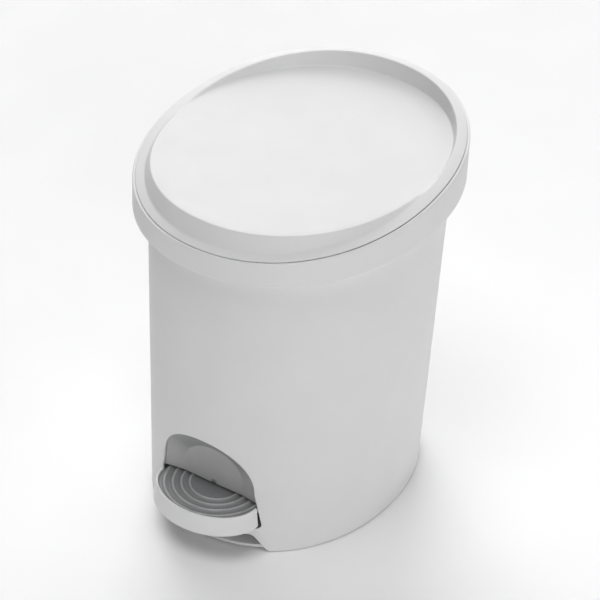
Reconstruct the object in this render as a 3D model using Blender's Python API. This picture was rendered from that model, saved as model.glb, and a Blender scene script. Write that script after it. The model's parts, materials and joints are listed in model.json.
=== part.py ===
"""Small oval pedal bin: tapered shell with a slanted collar, lift-out bucket, hinged lid and foot pedal.

Millimetres in the design functions, metres in the meshes. X is the width, -Y the front (pedal side),
+Z up. The origin is the centre of the footprint on the floor.
"""
import math

import bmesh
import bpy
from mathutils import Matrix, Vector

MM = 0.001

# ---- overall form -----------------------------------------------------------------------------
OVAL_POWER = 2.1          # exponent of the plan's superellipse: 2 is a true ellipse
SIDES = 72                # points round the large ovals
RIM_HEIGHT = 299.1        # collar top at mid depth
RIM_SLOPE = 0.104         # the collar rises this much per mm towards the back
COLLAR_HEIGHT = 29.2                 # at mid depth
NECK_SLOPE = 0.038        # the collar's lower edge rises less than its top
WALL = 2.5                # wall of the body and of the lid
GAP = 0.3                 # clearance between pieces that rest on each other
FLOOR_GAP = 0.6           # the shell's lower edge stands this far off the floor, on the feet

# an oval is (half width, half depth, centre y)
BASE_OVAL = (101.2, 124.6, -1.0)
NECK_OVAL = (108.0, 131.3, 2.9)      # the body just under the collar
COLLAR_OVAL = (119.6, 143.0, 3.0)
LID_RING_OVAL = (117.3, 141.0, 3.0)
LID_CREST_OVAL = (109.0, 134.0, 2.0)  # the ring's inner edge, its highest line
LID_RIB_OVAL = (110.0, 132.0, 2.4)
LID_DISC_OVAL = (106.8, 130.2, 3.6)
LID_DISC_HEIGHT = 302.3
LID_EDGE_THICKNESS = 0.9
LID_CREST_RISE = 3.0                 # crest above the collar's top plane
LID_RIB_DEPTH = 4.5

# ---- pedal opening and niche ----------------------------------------------------------------
OPENING_SILL = 24.0                  # lower edge of the pedal opening
OPENING_LOW_HALF = 48.4              # half width at the sill
OPENING_SPRING = 58.0                # height where the arch begins
OPENING_ARCH_HALF = 43.0
OPENING_CORNER = 4.0                 # radius of the lower corners
OPENING_TOP = 98.7
NICHE_BACK_Y = -108.6                # front face of the niche's back wall
NICHE_BACK_HALF = 27.5
NICHE_BACK_SPRING = 55.0
NICHE_BACK_TOP = 79.0
NICHE_WALL = 2.2
NICHE_FLANGE = 6.0
NICHE_BOTTOM = 45.4
RELIEF_TOP = 17.5                    # the cut-out in the shell's lower edge under the pedal
RELIEF_HALF_TOP = 40.0
RELIEF_HALF_FOOT = 55.5

# ---- pedal --------------------------------------------------------------------------------------
PEDAL_AXIS = (-40.0, 24.0)           # y, z
PEDAL_HALF = 45.4
PEDAL_ROUND_Y = -115.0               # where the pedal's round front begins
PEDAL_FRONT_Y = -149.6
PEDAL_BACK_Y = -104.0
PEDAL_TOP = 45.0
PEDAL_FLOOR = 41.5                   # top of the plate that carries the tread
PEDAL_PLATE = 3.0
PEDAL_APRON_BOTTOM = 28.0
PEDAL_FLARE = 1.8                    # the apron is this much wider at its lower edge
PEDAL_RIM = 1.8
TREAD_TOP = 44.2
TREAD_RIBS = 4
TREAD_FIRST_RIB = 0.49               # crest of the innermost rib, as a share of the tread's half width
TREAD_RIB_PITCH = 0.157
TREAD_RIB_WIDTH = 0.062
AXLE_RADIUS = 2.5
AXLE_BORE = 2.8
EAR_INNER = 20.0
EAR_OUTER = 23.0
LEVER_HALF = 18.0
LEVER_TAIL_HALF = 9.0
LEVER_THICKNESS = 4.0
LEVER_TAIL_Y = 118.0

# ---- lid hinge and push rod -----------------------------------------------------------------
HINGE_AXIS = (141.0, 302.0)          # y, z
HINGE_PIN_RADIUS = 2.0
HINGE_BORE = 2.3
BARREL_RADIUS = 4.8
BARREL_HALF = 24.0
LUG_INNER = 27.0
LUG_OUTER = 33.0
NOTCH_HALF = 46.0                    # the lid's inner wall swings through the notch as it opens
ROD_RADIUS = 2.0
ROD_TOP = (121.3, 294.8)             # y, z of the rod's pin in the lid's fork
ROD_BOTTOM = (114.5, 16.0)
FORK_INNER = 3.2
FORK_OUTER = 6.2

# ---- bucket ---------------------------------------------------------------------------------
BUCKET_TOP_OVAL = (102.0, 120.25, -4.75)
BUCKET_LOW_OVAL = (86.0, 101.5, 1.5)
BUCKET_BOTTOM = 50.0
BUCKET_WALL = 2.0
LIP_OVAL = (116.2, 139.6, 3.0)
LIP_BACK_Y = 135.5
BAIL_RADIUS = 1.75
BAIL_DROP = 10.0                     # pivots below the lip
BAIL_HALF = 96.0
BAIL_REACH = 110.0
BAIL_END = 104.4
GRIP_RADIUS = 5.0

# ---- base plate -----------------------------------------------------------------------------
PLATE_BOTTOM = 3.0
PLATE_THICKNESS = 2.5
FOOT_PLACE = (58.0, 76.0)
FOOT_RADIUS = 8.0
BOSS_RADIUS = 5.2
BOSS_INSET = 4.6                     # boss axis to the inside of the shell

# half the difference between what stands out at the back (collar) and at the front (pedal)
DEPTH_SHIFT = -(PEDAL_FRONT_Y - PEDAL_FLARE + COLLAR_OVAL[1] + COLLAR_OVAL[2]) / 2


# ---- geometry helpers ---------------------------------------------------------------------------
def rim_z(y):
    """Height of the collar's top plane at depth y."""
    return RIM_HEIGHT + RIM_SLOPE * y


def neck_z(y):
    """Height of the collar's lower edge at depth y."""
    return RIM_HEIGHT - COLLAR_HEIGHT + NECK_SLOPE * y


def signed_power(value, power):
    return math.copysign(abs(value) ** power, value)


def oval_ring(oval, height, sides=SIDES):
    """Points round an oval. height is a number, or a function of y."""
    half_x, half_y, centre_y = oval
    points = []
    for i in range(sides):
        angle = 2 * math.pi * i / sides
        x = half_x * signed_power(math.cos(angle), 2 / OVAL_POWER)
        y = centre_y + half_y * signed_power(math.sin(angle), 2 / OVAL_POWER)
        z = height(y) if callable(height) else height
        points.append(Vector((x, y, z)))
    return points


def grown(oval, amount):
    return (oval[0] + amount, oval[1] + amount, oval[2])


def body_oval(height, grow=0.0):
    """The shell's outer oval at a height, between the base and the neck."""
    share = height / (RIM_HEIGHT - COLLAR_HEIGHT)
    oval = [low + (high - low) * share for low, high in zip(BASE_OVAL, NECK_OVAL)]
    return (oval[0] + grow, oval[1] + grow, oval[2])


def shell_front_y(x, z, depth):
    """The shell's front at x and z, this deep in its wall."""
    half_x, half_y, centre_y = body_oval(z, -depth)
    share = 1 - min(abs(x) / half_x, 1.0) ** OVAL_POWER
    return centre_y - half_y * share ** (1 / OVAL_POWER)


def loft(rings, closed=False):
    """Skin through rings of equal length; closed joins the last ring to the first."""
    bm = bmesh.new()
    rows = [[bm.verts.new(p) for p in ring] for ring in rings]
    count = len(rings[0])
    pairs = list(zip(rows, rows[1:]))
    if closed:
        pairs.append((rows[-1], rows[0]))
    for low, high in pairs:
        for i in range(count):
            j = (i + 1) % count
            bm.faces.new((low[i], low[j], high[j], high[i]))
    if not closed:
        bm.faces.new(list(reversed(rows[0])))
        bm.faces.new(rows[-1])
    bmesh.ops.recalc_face_normals(bm, faces=bm.faces)
    return bm


def prism(outline, axis, low, high):
    """A 2-D outline extruded along X, Y or Z. Outlines are (y, z), (x, z) and (x, y)."""
    def place(u, v, w):
        return {"X": Vector((w, u, v)), "Y": Vector((u, w, v)), "Z": Vector((u, v, w))}[axis]

    return loft([[place(u, v, w) for u, v in outline] for w in (low, high)])


def box(low, high):
    outline = [(low[0], low[1]), (high[0], low[1]), (high[0], high[1]), (low[0], high[1])]
    return prism(outline, "Z", low[2], high[2])


def circle(centre, radius, sides=20):
    return [
        (
            centre[0] + radius * math.cos(2 * math.pi * i / sides),
            centre[1] + radius * math.sin(2 * math.pi * i / sides),
        )
        for i in range(sides)
    ]


def cylinder(axis, centre, radius, low, high, sides=20):
    return prism(circle(centre, radius, sides), axis, low, high)


def capsule(start, end, radius, steps=8):
    """Outline of a bar with round ends between two points."""
    direction = math.atan2(end[1] - start[1], end[0] - start[0])
    outline = []
    for centre, first in ((end, direction - math.pi / 2), (start, direction + math.pi / 2)):
        for i in range(steps + 1):
            angle = first + math.pi * i / steps
            outline.append((centre[0] + radius * math.cos(angle), centre[1] + radius * math.sin(angle)))
    return outline


def turned(profile, centre, sides=24):
    """A solid turned about a vertical axis; the profile is (radius, z) from bottom to top."""
    return loft(
        [[Vector((centre[0] + u, centre[1] + v, z)) for u, v in circle((0, 0), r, sides)] for r, z in profile]
    )


def sweep(path, radius, sides=10, bore=0.0):
    """A round bar, or a tube when bore is not 0, along a path of points."""
    def ring(index, size):
        before = path[max(index - 1, 0)]
        after = path[min(index + 1, len(path) - 1)]
        turn = (after - before).to_track_quat("Z", "X")
        centre = path[index]
        return [centre + turn @ Vector((u, v, 0)) for u, v in circle((0, 0), size, sides)]

    outer = [ring(i, radius) for i in range(len(path))]
    if not bore:
        return loft(outer)
    inner = [ring(i, bore) for i in reversed(range(len(path)))]
    return loft(outer + inner, closed=True)


# ---- object helpers -----------------------------------------------------------------------------
def material(name, colour, roughness, metallic=0.0):
    shader = bpy.data.materials.new(name)
    shader.use_nodes = True
    node = shader.node_tree.nodes["Principled BSDF"]
    node.inputs["Base Color"].default_value = (*colour, 1.0)
    node.inputs["Roughness"].default_value = roughness
    node.inputs["Metallic"].default_value = metallic
    return shader


def add_object(name, bm, shader=None, origin=(0.0, 0.0, 0.0)):
    """Make an object from a mesh in millimetres, with its origin at a point in the same frame."""
    shift = Vector(origin)
    bmesh.ops.triangulate(bm, faces=bm.faces)
    bmesh.ops.transform(bm, matrix=Matrix.Scale(MM, 4) @ Matrix.Translation(-shift), verts=bm.verts)
    mesh = bpy.data.meshes.new(name)
    bm.to_mesh(mesh)
    bm.free()
    mesh.shade_smooth()
    mesh.set_sharp_from_angle(angle=math.radians(30))
    thing = bpy.data.objects.new(name, mesh)
    thing.location = (shift + Vector((0.0, DEPTH_SHIFT, 0.0))) * MM
    bpy.context.scene.collection.objects.link(thing)
    if shader:
        mesh.materials.append(shader)
    return thing


def combine(thing, operation, pieces):
    """Join pieces to an object or cut them from it, one after another."""
    for bm in pieces:
        tool = add_object("tool", bm)
        modifier = thing.modifiers.new("combine", "BOOLEAN")
        modifier.operation = operation
        modifier.object = tool
        bpy.context.view_layer.update()
        result = bpy.data.meshes.new_from_object(
            thing.evaluated_get(bpy.context.evaluated_depsgraph_get())
        )
        thing.modifiers.clear()
        old = thing.data
        name = old.name
        thing.data = result
        bpy.data.meshes.remove(old)
        result.name = name
        tool_mesh = tool.data
        bpy.data.objects.remove(tool)
        bpy.data.meshes.remove(tool_mesh)
    thing.data.shade_smooth()
    thing.data.set_sharp_from_angle(angle=math.radians(30))


# ---- outlines -----------------------------------------------------------------------------------
def arch_outline(low_half, spring_half, bottom, spring, top, grow=0.0, corner=0.0, steps=20):
    """Opening with leaning sides and an arched top, as (x, z), counter-clockwise."""
    outline = []
    for side, first in ((-1, math.pi), (1, 1.5 * math.pi)):
        centre = (side * (low_half + grow - corner), bottom - grow + corner)
        turns = 4 if corner else 0
        for i in range(turns + 1):
            angle = first + (math.pi / 2 * i / turns if turns else 0.0)
            outline.append((centre[0] + corner * math.cos(angle), centre[1] + corner * math.sin(angle)))
    for i in range(steps + 1):
        angle = math.pi * i / steps
        x = (spring_half + grow) * signed_power(math.cos(angle), 2 / OVAL_POWER)
        z = spring + (top + grow - spring) * math.sin(angle) ** (2 / OVAL_POWER)
        outline.append((x, z))
    return outline


def opening_outline(grow=0.0, bottom=OPENING_SILL, corner=0.0):
    """The shell's pedal opening; its sides lean outwards to the sill."""
    lean = (OPENING_LOW_HALF - OPENING_ARCH_HALF) / (OPENING_SPRING - OPENING_SILL)
    low_half = OPENING_ARCH_HALF + lean * (OPENING_SPRING - bottom)
    return arch_outline(low_half, OPENING_ARCH_HALF, bottom, OPENING_SPRING, OPENING_TOP, grow, corner)


def relief_outline(steps=8):
    """Cut-out under the pedal: flat top with S-curved ends running down to the floor."""
    outline = []
    for side in (1, -1):
        curve = []
        for i in range(steps + 1):
            share = i / steps
            x = side * (RELIEF_HALF_FOOT + (RELIEF_HALF_TOP - RELIEF_HALF_FOOT) * share)
            curve.append((x, RELIEF_TOP * (1 - math.cos(math.pi * share)) / 2))
        outline += curve if side == 1 else curve[::-1]
    return [(-RELIEF_HALF_FOOT, -5.0), (RELIEF_HALF_FOOT, -5.0)] + outline


def pedal_outline(inset=0.0, back=PEDAL_BACK_Y, steps=28):
    """Plan of the pedal, as (x, y): straight back, round front."""
    half = PEDAL_HALF - inset
    depth = PEDAL_ROUND_Y - PEDAL_FRONT_Y - inset
    outline = [(half, back), (-half, back)]
    for i in range(steps + 1):
        angle = math.pi * i / steps
        outline.append((-half * math.cos(angle), PEDAL_ROUND_Y - depth * math.sin(angle)))
    return outline


# ---- sub-parts ----------------------------------------------------------------------------------
def boss_places():
    """Screw bosses just inside the shell's lower wall, one in each quarter."""
    half_x, half_y, centre_y = body_oval(10.0, -WALL - BOSS_INSET)
    diagonal = math.cos(math.pi / 4) ** (2 / OVAL_POWER)
    return [
        (side_x * half_x * diagonal, centre_y + side_y * half_y * diagonal)
        for side_x in (1, -1)
        for side_y in (1, -1)
    ]


def make_outer_body(shader):
    rings = [
        oval_ring(body_oval(FLOOR_GAP), FLOOR_GAP),
        oval_ring(NECK_OVAL, neck_z),
        oval_ring(grown(COLLAR_OVAL, -0.8), neck_z),
        oval_ring(COLLAR_OVAL, lambda y: neck_z(y) + 0.8),
        oval_ring(COLLAR_OVAL, lambda y: rim_z(y) - 0.9),
        oval_ring(grown(COLLAR_OVAL, -0.9), rim_z),
        oval_ring(grown(COLLAR_OVAL, -WALL), rim_z),
        oval_ring(grown(COLLAR_OVAL, -WALL), lambda y: neck_z(y) + WALL),
        oval_ring(grown(NECK_OVAL, -WALL), lambda y: neck_z(y) + WALL),
        oval_ring(body_oval(FLOOR_GAP, -WALL), FLOOR_GAP),
    ]
    body = add_object("outer_body", loft(rings, closed=True), shader)
    hinge_y, hinge_z = HINGE_AXIS
    ledge_z = neck_z(hinge_y) + 0.7
    lugs = []
    for side in (1, -1):
        low, high = sorted((side * LUG_INNER, side * LUG_OUTER))
        lugs.append(cylinder("X", HINGE_AXIS, 5.0, low, high, 24))
        lugs.append(box((low, hinge_y - 4.5, ledge_z), (high, hinge_y + 0.5, hinge_z)))
    bosses = [
        cylinder("Z", place, BOSS_RADIUS, PLATE_BOTTOM + PLATE_THICKNESS + GAP, 18.0)
        for place in boss_places()
    ]
    combine(body, "DIFFERENCE", [
        prism(opening_outline(corner=OPENING_CORNER), "Y", -150.0, -90.0),
        prism(relief_outline(), "Y", -150.0, -90.0),
        box((-NOTCH_HALF, 132.0, 294.0), (NOTCH_HALF, 155.0, 325.0)),
    ])
    combine(body, "UNION", lugs + bosses)
    combine(body, "DIFFERENCE", [
        cylinder("X", HINGE_AXIS, HINGE_BORE, -LUG_OUTER - 1, LUG_OUTER + 1, 16),
    ] + [cylinder("Z", place, 1.6, 0.0, 16.0, 12) for place in boss_places()])
    return body


def make_niche_insert(shader):
    """A thin cup behind the opening, with a flange that lies against the inside of the shell."""
    back = (NICHE_BACK_HALF, NICHE_BACK_HALF, NICHE_BOTTOM - 20, NICHE_BACK_SPRING, NICHE_BACK_TOP)

    def splayed(grow, back_y, reach):
        """Ruled from the opening's edge on the inside of the shell to the back wall, and a little in front."""
        rings = [[], [], []]
        outlines = opening_outline(grow, bottom=NICHE_BOTTOM - 20), arch_outline(*back, grow=grow)
        for (x, z), (back_x, back_z) in zip(*outlines):
            edge = Vector((x, shell_front_y(x, z, WALL + GAP), z))
            rear = Vector((back_x, back_y, back_z))
            ahead = edge + (edge - rear) * reach
            rings[0].append(Vector((ahead.x, -140.0, ahead.z)))
            rings[1].append(ahead)
            rings[2].append(rear)
        return loft(rings)

    low, high = NICHE_BOTTOM - 25, 120.0
    inside = [oval_ring(body_oval(z, -WALL - GAP), z) for z in (low, high)]
    behind_flange = [oval_ring(body_oval(z, -WALL - GAP - NICHE_WALL), z) for z in (low - 1, high + 1)]
    insert = add_object("niche_insert", prism(opening_outline(NICHE_FLANGE, 30.0), "Y", -140.0, -70.0), shader)
    combine(insert, "DIFFERENCE", [loft(behind_flange)])
    combine(insert, "UNION", [splayed(NICHE_WALL, NICHE_BACK_Y + NICHE_WALL, 0.3)])
    combine(insert, "INTERSECT", [loft(inside)])
    combine(insert, "DIFFERENCE", [
        splayed(0.0, NICHE_BACK_Y, 0.35),
        box((-80.0, -140.0, 0.0), (80.0, -60.0, NICHE_BOTTOM)),
    ])
    return insert


def make_base_plate(shader):
    oval = body_oval(PLATE_BOTTOM, -WALL - 0.4)
    top = PLATE_BOTTOM + PLATE_THICKNESS
    plate = add_object("base_plate", loft([oval_ring(oval, PLATE_BOTTOM), oval_ring(oval, top)]), shader)
    axis_y, axis_z = PEDAL_AXIS
    ears = []
    for side in (1, -1):
        low, high = sorted((side * EAR_INNER, side * EAR_OUTER))
        outline = [(axis_y - 11, top - 1), (axis_y + 11, top - 1)]
        outline += [(axis_y + u, axis_z + v) for u, v in circle((0, 0), 6.5, 24) if v >= 0]
        ears.append(prism(outline, "X", low, high))
    combine(plate, "UNION", ears)
    holes = [cylinder("X", PEDAL_AXIS, AXLE_BORE, -EAR_OUTER - 1, EAR_OUTER + 1, 16)]
    holes += [cylinder("Z", place, 2.2, 0.0, 10.0, 12) for place in boss_places()]
    holes += [cylinder("Z", place, 2.8, 0.0, 10.0, 12) for place in foot_places().values()]
    combine(plate, "DIFFERENCE", holes)
    return plate


def foot_places():
    x, y = FOOT_PLACE
    return {
        "front_left": (-x, -y),
        "front_right": (x, -y),
        "rear_left": (-x, y),
        "rear_right": (x, y),
    }


def make_feet(shader):
    for name, place in foot_places().items():
        pad = [(FOOT_RADIUS - 0.6, 0.0), (FOOT_RADIUS, 0.8), (FOOT_RADIUS - 0.8, PLATE_BOTTOM - GAP),
               (2.4, PLATE_BOTTOM - GAP), (2.4, 6.6), (1.6, 7.4)]
        add_object("foot_pad_" + name, turned(pad, place, 20), shader)


def make_base_screws(shader):
    for number, place in enumerate(boss_places(), 1):
        head = [(3.0, 1.2), (3.4, 1.6), (3.4, PLATE_BOTTOM - GAP), (1.3, PLATE_BOTTOM - GAP), (1.3, 14.0),
                (0.5, 15.2)]
        add_object(f"base_screw_{number}", turned(head, place, 16), shader)


def make_pedal_shell(shader, origin):
    """A carrying plate with a deep half-round apron in front."""
    plate_low = PEDAL_FLOOR - PEDAL_PLATE
    apron = []
    for flare, height in ((PEDAL_FLARE, PEDAL_APRON_BOTTOM), (0.0, PEDAL_TOP)):
        edge = pedal_outline(-flare)[2:] + pedal_outline(PEDAL_RIM - flare)[:1:-1]
        apron.append([Vector((x, y, height)) for x, y in edge])
    shell = add_object("pedal_shell", loft(apron), shader, origin)
    combine(shell, "UNION", [prism(pedal_outline(PEDAL_RIM / 2), "Z", plate_low, PEDAL_FLOOR)])
    combine(shell, "DIFFERENCE", [
        cylinder("Z", place, 1.6, plate_low - 2, PEDAL_FLOOR - 0.8, 12) for place in pedal_screw_places()
    ])
    return shell


def make_pedal_tread(shader, origin):
    """A pad with raised arcs, concentric about the middle of its straight back edge."""
    gap = PEDAL_RIM + GAP
    base = PEDAL_FLOOR + GAP
    valley = TREAD_TOP - 0.9
    tread = add_object("pedal_tread", prism(pedal_outline(gap), "Z", base, valley), shader, origin)
    half = PEDAL_HALF - gap
    depth = PEDAL_BACK_Y - 3.0 - PEDAL_FRONT_Y - gap
    ribs = []
    for number in range(TREAD_RIBS):
        outer = TREAD_FIRST_RIB + TREAD_RIB_PITCH * number + TREAD_RIB_WIDTH / 2
        inner = outer - TREAD_RIB_WIDTH
        rings = []
        for share, height in ((outer, valley - 0.6), (outer - 0.008, TREAD_TOP), (inner + 0.008, TREAD_TOP),
                              (inner, valley - 0.6)):
            rings.append([
                Vector((-half * share * math.cos(a), PEDAL_BACK_Y - 3.0 - depth * share * math.sin(a), height))
                for a in (math.pi * i / 20 for i in range(21))
            ])
        ribs.append(arc_strip(rings))
    combine(tread, "UNION", ribs)
    return tread


def arc_strip(rows):
    """A bar with a four-sided section along rows of equal length, closed at both ends."""
    sections = [[row[i] for row in rows] for i in range(len(rows[0]))]
    return loft(sections)


def pedal_screw_places():
    return [(-10.0, -110.0), (10.0, -110.0)]


def make_pedal_screws(shader, origin):
    top = PEDAL_FLOOR - PEDAL_PLATE - GAP
    low = top - LEVER_THICKNESS - GAP
    for number, place in enumerate(pedal_screw_places(), 1):
        profile = [(2.6, low - 2.0), (3.0, low - 1.6), (3.0, low), (1.3, low), (1.3, top + 2.0)]
        add_object(f"pedal_screw_{number}", turned(profile, place, 12), shader, origin)


def make_pedal_lever(shader, origin):
    """A flat bar from under the pedal, over the axle, to a pad under the push rod."""
    half = LEVER_THICKNESS / 2
    front_z = PEDAL_FLOOR - PEDAL_PLATE - GAP - half
    axis_y, axis_z = PEDAL_AXIS
    tail_z = ROD_BOTTOM[1] - 2.0 - half
    line = [(-118.0, front_z), (-98.0, front_z), (axis_y, axis_z), (98.0, tail_z), (LEVER_TAIL_Y, tail_z)]

    def strip(points):
        return [(y, z - half) for y, z in points] + [(y, z + half) for y, z in reversed(points)]

    lever = add_object("pedal_lever", prism(strip(line[:3]), "X", -LEVER_HALF, LEVER_HALF), shader, origin)
    combine(lever, "UNION", [
        cylinder("X", PEDAL_AXIS, 6.0, -EAR_INNER + 0.4, EAR_INNER - 0.4, 24),
        prism(strip(line[2:]), "X", -LEVER_TAIL_HALF, LEVER_TAIL_HALF),
    ])
    bores = [cylinder("X", PEDAL_AXIS, AXLE_BORE, -EAR_INNER, EAR_INNER, 16)]
    bores += [cylinder("Z", place, 1.7, 20.0, 60.0, 12) for place in pedal_screw_places()]
    combine(lever, "DIFFERENCE", bores)
    return lever


def make_axle(shader, clip_shader):
    reach = EAR_OUTER + 3.0
    add_object("pedal_axle", cylinder("X", PEDAL_AXIS, AXLE_RADIUS, -reach, reach, 20), shader)
    for name, side in (("left", -1), ("right", 1)):
        low, high = sorted((side * (EAR_OUTER + GAP), side * (EAR_OUTER + 1.5)))
        clip = add_object(
            "axle_clip_" + name, cylinder("X", PEDAL_AXIS, 4.6, low, high, 20), clip_shader
        )
        combine(clip, "DIFFERENCE", [cylinder("X", PEDAL_AXIS, AXLE_RADIUS + 0.2, -40.0, 40.0, 20)])


def make_lid(shader, origin):
    under_disc = LID_DISC_HEIGHT - WALL

    def ring_low(y):
        return rim_z(y) + GAP

    def crest(y):
        return rim_z(y) + LID_CREST_RISE

    def rib_bottom(y):
        return min(rim_z(y) - LID_RIB_DEPTH, under_disc)

    rings = [
        oval_ring((20.0, 24.0, LID_DISC_OVAL[2]), under_disc),
        oval_ring((104.2, 127.6, 3.6), under_disc),
        oval_ring(LID_RIB_OVAL, rib_bottom),
        oval_ring(grown(LID_RIB_OVAL, 2.4), rib_bottom),
        oval_ring(grown(LID_RIB_OVAL, 2.6), ring_low),
        oval_ring(LID_RING_OVAL, ring_low),
        oval_ring(LID_RING_OVAL, lambda y: ring_low(y) + LID_EDGE_THICKNESS),
        oval_ring(grown(LID_CREST_OVAL, 0.8), lambda y: crest(y) - 0.15),
        oval_ring(LID_CREST_OVAL, crest),
        oval_ring(LID_DISC_OVAL, LID_DISC_HEIGHT),
        oval_ring((20.0, 24.0, LID_DISC_OVAL[2]), LID_DISC_HEIGHT),
    ]
    lid = add_object("lid", loft(rings), shader, origin)
    hinge_y, hinge_z = HINGE_AXIS
    forks = []
    for side in (1, -1):
        low, high = sorted((side * FORK_INNER, side * FORK_OUTER))
        forks.append(prism(capsule(HINGE_AXIS, ROD_TOP, 3.4), "X", low, high))
    combine(lid, "UNION", [
        cylinder("X", HINGE_AXIS, BARREL_RADIUS, -BARREL_HALF, BARREL_HALF, 24),
        box((-BARREL_HALF, hinge_y - 4.4, hinge_z), (BARREL_HALF, hinge_y + 1.0, rim_z(hinge_y) + 1.0)),
    ] + forks)
    combine(lid, "DIFFERENCE", [
        cylinder("X", HINGE_AXIS, HINGE_BORE, -BARREL_HALF - 1, BARREL_HALF + 1, 16),
        cylinder("X", ROD_TOP, 1.8, -FORK_OUTER - 1, FORK_OUTER + 1, 12),
    ])
    return lid


def make_pins(shader, lid_origin):
    reach = LUG_OUTER + 1.5
    add_object("hinge_pin", cylinder("X", HINGE_AXIS, HINGE_PIN_RADIUS, -reach, reach, 20), shader)
    reach = FORK_OUTER + 1.0
    add_object("rod_pin", cylinder("X", ROD_TOP, 1.5, -reach, reach, 16), shader, lid_origin)


def rod_point(distance):
    """A point on the rod's line, this far below its pin, as (y, z)."""
    top, bottom = Vector(ROD_TOP), Vector(ROD_BOTTOM)
    return top + (bottom - top).normalized() * distance


def make_push_rod(shader, foot_shader):
    origin = (0.0, *ROD_TOP)
    start, end = rod_point(2.0), Vector(ROD_BOTTOM)
    rod = add_object(
        "push_rod", sweep([Vector((0.0, *start)), Vector((0.0, *end))], ROD_RADIUS, 14), shader, origin
    )
    combine(rod, "UNION", [cylinder("X", ROD_TOP, 3.6, -2.8, 2.8, 20)])
    combine(rod, "DIFFERENCE", [cylinder("X", ROD_TOP, 1.8, -4.0, 4.0, 12)])
    length = (Vector(ROD_BOTTOM) - Vector(ROD_TOP)).length
    low, high = rod_point(length + 1.6), rod_point(length - 9.0)
    foot = add_object(
        "rod_foot", sweep([Vector((0.0, *low)), Vector((0.0, *high))], 4.5, 20), foot_shader, origin
    )
    bore_top, bore_low = rod_point(length - 12.0), rod_point(length + GAP)
    combine(foot, "DIFFERENCE", [
        sweep([Vector((0.0, *bore_low)), Vector((0.0, *bore_top))], ROD_RADIUS + GAP, 14)
    ])


def make_rod_guides(shader):
    """Forked clips on the rear wall; the slots leave room for the rod's small swing."""
    for name, height in (("lower", 80.0), ("upper", 200.0)):
        wall_y = body_oval(height - 4, -WALL - 0.9)
        back_y = wall_y[1] + wall_y[2]
        guide = add_object(
            "rod_guide_" + name, box((-8.0, back_y - 15.0, height - 4), (8.0, back_y, height + 4)), shader
        )
        combine(guide, "DIFFERENCE", [
            box((-2.6, back_y - 20.0, height - 5), (2.6, back_y - 2.6, height + 5))
        ])


def lip_top(y):
    return neck_z(y) + WALL + GAP + BUCKET_WALL


def make_bucket(shader):
    def lip_bottom(y):
        return lip_top(y) - BUCKET_WALL

    floor = BUCKET_BOTTOM + BUCKET_WALL
    rings = [
        oval_ring(grown(BUCKET_LOW_OVAL, -3.0), BUCKET_BOTTOM),
        oval_ring(BUCKET_LOW_OVAL, BUCKET_BOTTOM + 3.0),
        oval_ring(BUCKET_TOP_OVAL, lip_bottom),
        oval_ring(LIP_OVAL, lip_bottom),
        oval_ring(LIP_OVAL, lip_top),
        oval_ring(grown(BUCKET_TOP_OVAL, -BUCKET_WALL), lip_top),
        oval_ring(grown(BUCKET_LOW_OVAL, -BUCKET_WALL), floor + 3.0),
        oval_ring(grown(BUCKET_LOW_OVAL, -3.0 - BUCKET_WALL), floor),
    ]
    bucket = add_object("inner_bucket", loft(rings), shader)
    rear_y = BUCKET_TOP_OVAL[1] + BUCKET_TOP_OVAL[2]
    pivot = bail_pivot()
    combine(bucket, "DIFFERENCE", [
        box((-50.0, LIP_BACK_Y, 270.0), (50.0, 160.0, 310.0)),
        box((-9.0, rear_y + 0.5, 270.0), (9.0, 160.0, 310.0)),
        cylinder("X", pivot, BAIL_RADIUS + GAP, -120.0, 120.0, 12),
    ])
    return bucket


def bail_pivot():
    y = BUCKET_TOP_OVAL[2]
    return (y, lip_top(y) - BAIL_DROP)


def bail_path(start_deg, end_deg, steps):
    """Part of the bail's half oval, which lies parallel to the collar."""
    pivot_y, pivot_z = bail_pivot()
    points = []
    for i in range(steps + 1):
        angle = math.radians(start_deg + (end_deg - start_deg) * i / steps)
        x = BAIL_HALF * signed_power(math.cos(angle), 2 / OVAL_POWER)
        reach = -BAIL_REACH * signed_power(math.sin(angle), 2 / OVAL_POWER)
        points.append(Vector((x, pivot_y + reach, pivot_z + RIM_SLOPE * reach)))
    return points


def make_bail(wire_shader, grip_shader):
    pivot_y, pivot_z = bail_pivot()
    origin = (0.0, pivot_y, pivot_z)
    first_end, last_end = (
        [Vector((side * x, pivot_y, pivot_z)) for x in (BAIL_END, BAIL_HALF + 2.5, BAIL_HALF + 1.0)]
        for side in (1, -1)
    )
    path = first_end + bail_path(3.0, 177.0, 44) + last_end[::-1]
    add_object("bucket_bail", sweep(path, BAIL_RADIUS, 8), wire_shader, origin)
    grip = bail_path(66.0, 114.0, 12)
    add_object("bail_grip", sweep(grip, GRIP_RADIUS, 14, bore=BAIL_RADIUS + GAP), grip_shader, origin)


def clear_scene():
    for thing in list(bpy.data.objects):
        bpy.data.objects.remove(thing)


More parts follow.
